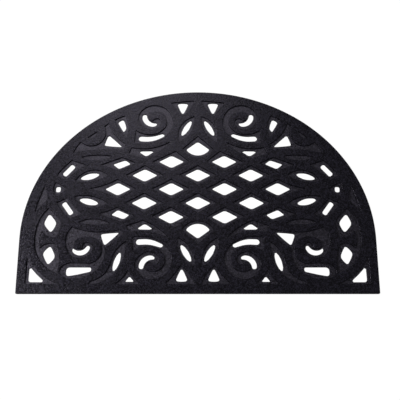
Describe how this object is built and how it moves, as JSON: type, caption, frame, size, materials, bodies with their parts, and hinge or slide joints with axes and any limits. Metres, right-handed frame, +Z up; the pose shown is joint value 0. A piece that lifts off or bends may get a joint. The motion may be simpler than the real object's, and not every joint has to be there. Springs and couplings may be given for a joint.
{
  "type": "half round doormat",
  "caption": "Half round rubber doormat, flat, with raised scroll and diamond lattice bars and openings cut through between them.",
  "frame": {"origin": "centre of the bounding box, at the floor under the mat", "axes": "+X along the straight edge to the right as seen from it, +Y from the straight front edge towards the rounded back, +Z up"},
  "size_m": [0.762, 0.457, 0.008],
  "materials": {
    "rubber": "matt, finely grained"
  },
  "bodies": {
    "root": {"mat": "rubber"}
  },
  "joints": []
}
